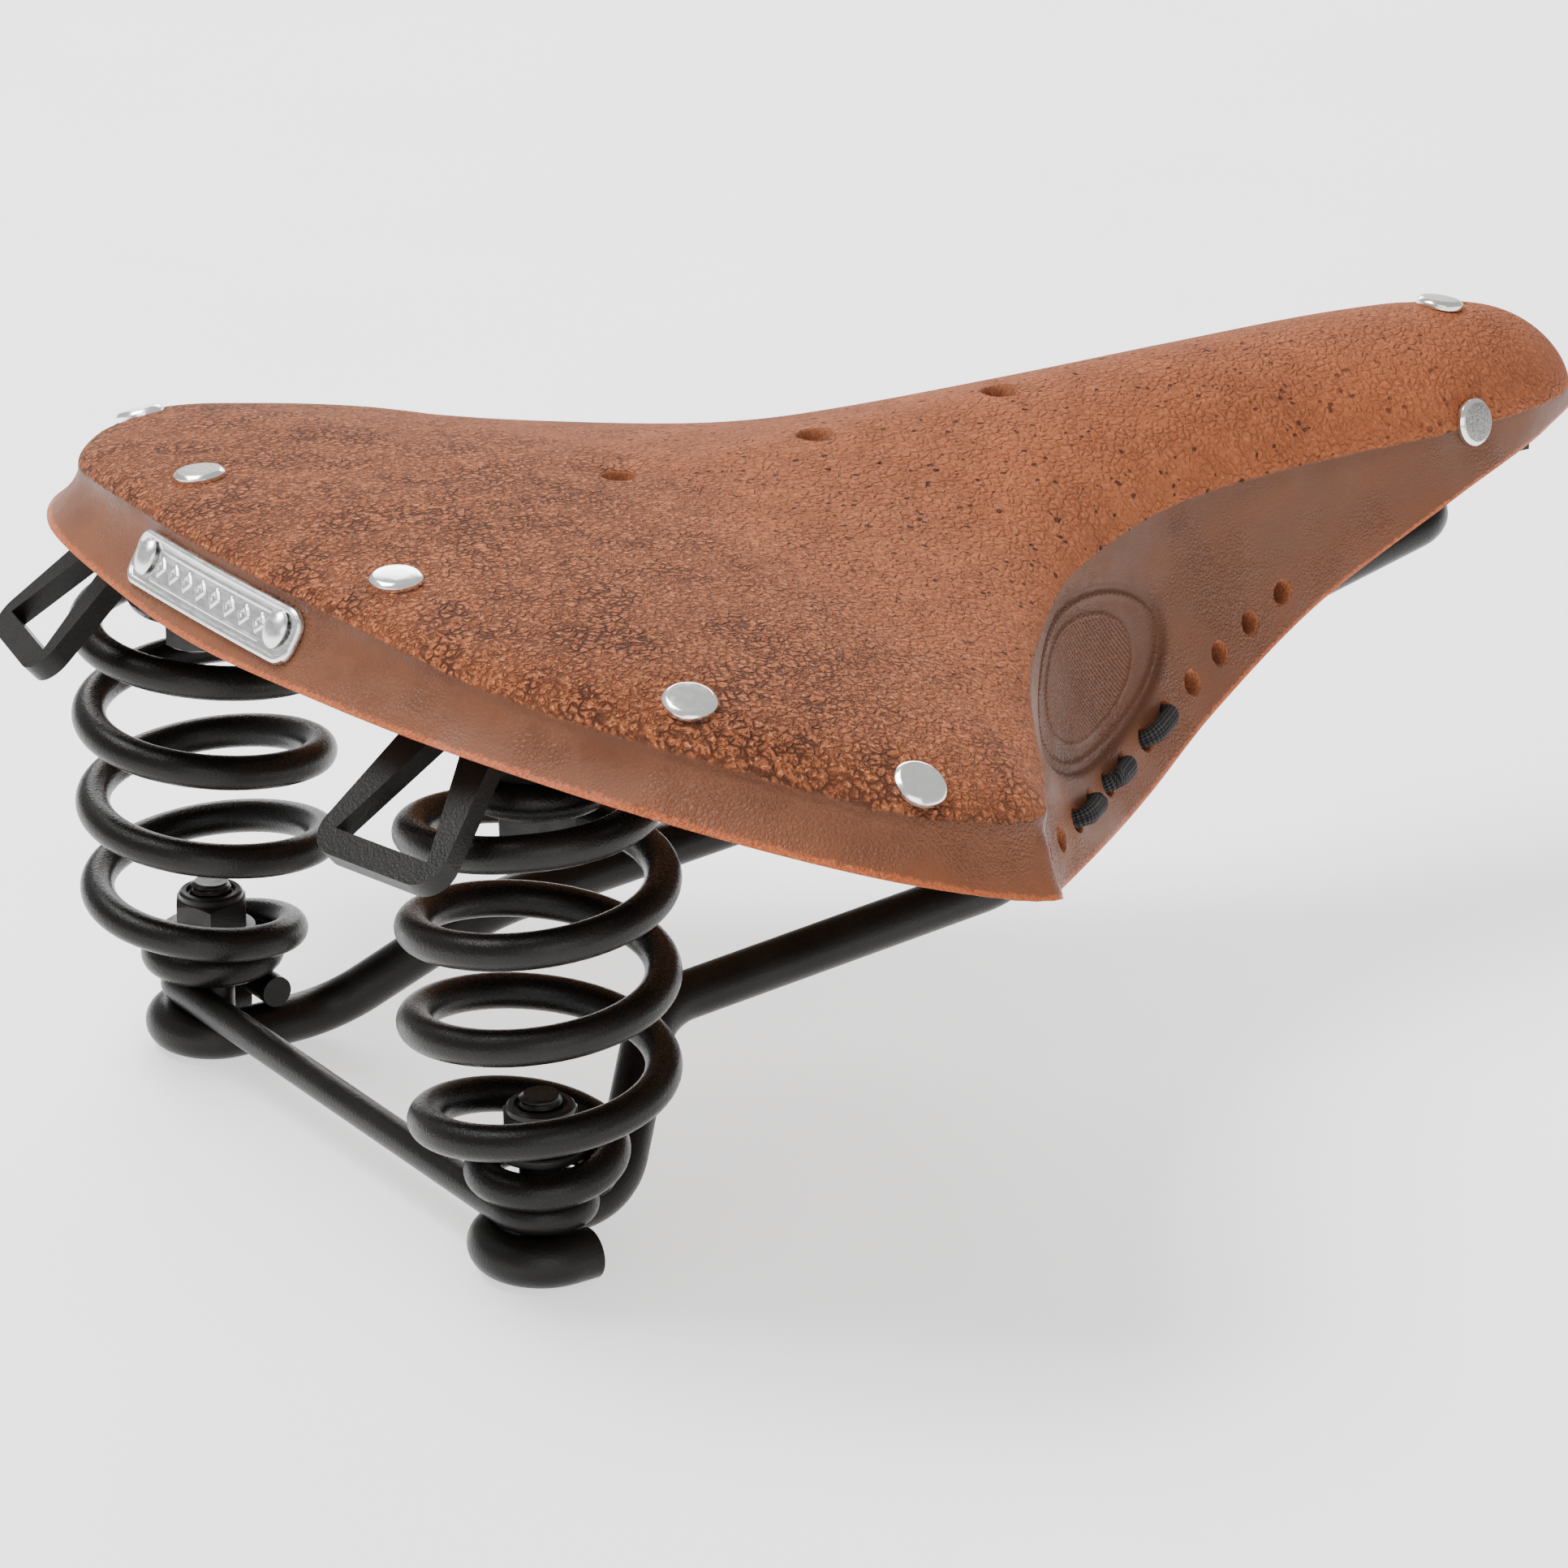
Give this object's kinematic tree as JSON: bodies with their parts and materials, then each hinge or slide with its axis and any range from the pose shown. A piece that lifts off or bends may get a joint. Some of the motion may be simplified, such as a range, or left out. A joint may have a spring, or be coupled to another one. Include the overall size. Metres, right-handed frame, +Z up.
{
  "type": "sprung leather bicycle saddle",
  "caption": "Wide saddle with a tensioned leather top riveted to steel plates, carried by a bent wire frame on coil springs, with a laced skirt, bag loops and a nose tension screw.",
  "frame": {"origin": "midway between the two rails at the middle of their straight clamp zone", "axes": "+X towards the nose, +Y towards the rider's left, +Z up"},
  "size_m": [0.2491, 0.2026, 0.0957],
  "materials": {
    "leather": "nubuck top, burnished skirt",
    "black_steel": "satin powder coat",
    "spring_steel": "satin powder coat",
    "black_hardware": "black oxide",
    "nickel": "bright nickel",
    "badge_metal": "pressed, satin",
    "bright_steel": "polished",
    "lace": "woven"
  },
  "bodies": {
    "frame": {"rail_frame": "black_steel", "cross_stay": "black_steel", "coil_spring_left": "spring_steel", "lower_bolt_left": "black_hardware", "spring_washer_left": "black_hardware", "lock_nut_left": "black_hardware", "coil_spring_right": "spring_steel", "lower_bolt_right": "black_hardware", "spring_washer_right": "black_hardware", "lock_nut_right": "black_hardware"},
    "top": {"leather_top": "leather", "cantle_plate": "black_steel", "badge_plate": "badge_metal", "badge_rivet_left": "badge_metal", "badge_rivet_right": "badge_metal", "tension_shackle": "bright_steel", "skirt_lace": "lace", "rear_rivet_1_left": "nickel", "rear_rivet_1_right": "nickel", "rear_rivet_2_left": "nickel", "rear_rivet_2_right": "nickel", "rear_rivet_3_left": "nickel", "rear_rivet_3_right": "nickel", "upper_bolt_left": "black_hardware", "upper_nut_left": "black_hardware", "upper_bolt_right": "black_hardware", "upper_nut_right": "black_hardware"},
    "nose": {"nose_plate": "black_steel", "tension_pin": "bright_steel", "nose_rivet_left": "nickel", "nose_rivet_right": "nickel", "nose_rivet_top": "nickel"},
    "nut": {"tension_nut": "bright_steel"}
  },
  "joints": [
    {"name": "suspension", "type": "hinge", "parent": "frame", "child": "top", "pos_m": [0.12, 0, 0.0395], "axis": [0, -1, 0], "range_deg": [-1, 3], "stiffness_Nm_per_rad": 800, "deforming": ["coil_spring_left", "coil_spring_right"]},
    {"name": "nose_tension", "type": "slide", "parent": "top", "child": "nose", "axis": [1, 0, 0], "range_m": [0, 0.004], "deforming": ["leather_top"]},
    {"name": "nut_turn", "type": "hinge", "parent": "top", "child": "nut", "pos_m": [0.13, 0, 0.0495], "axis": [1, 0, 0], "range_deg": [0, 1440]}
  ],
  "couplings": [
    {"joint": "nut_turn", "follows": "nose_tension", "rad_per_m": 6283.2}
  ]
}
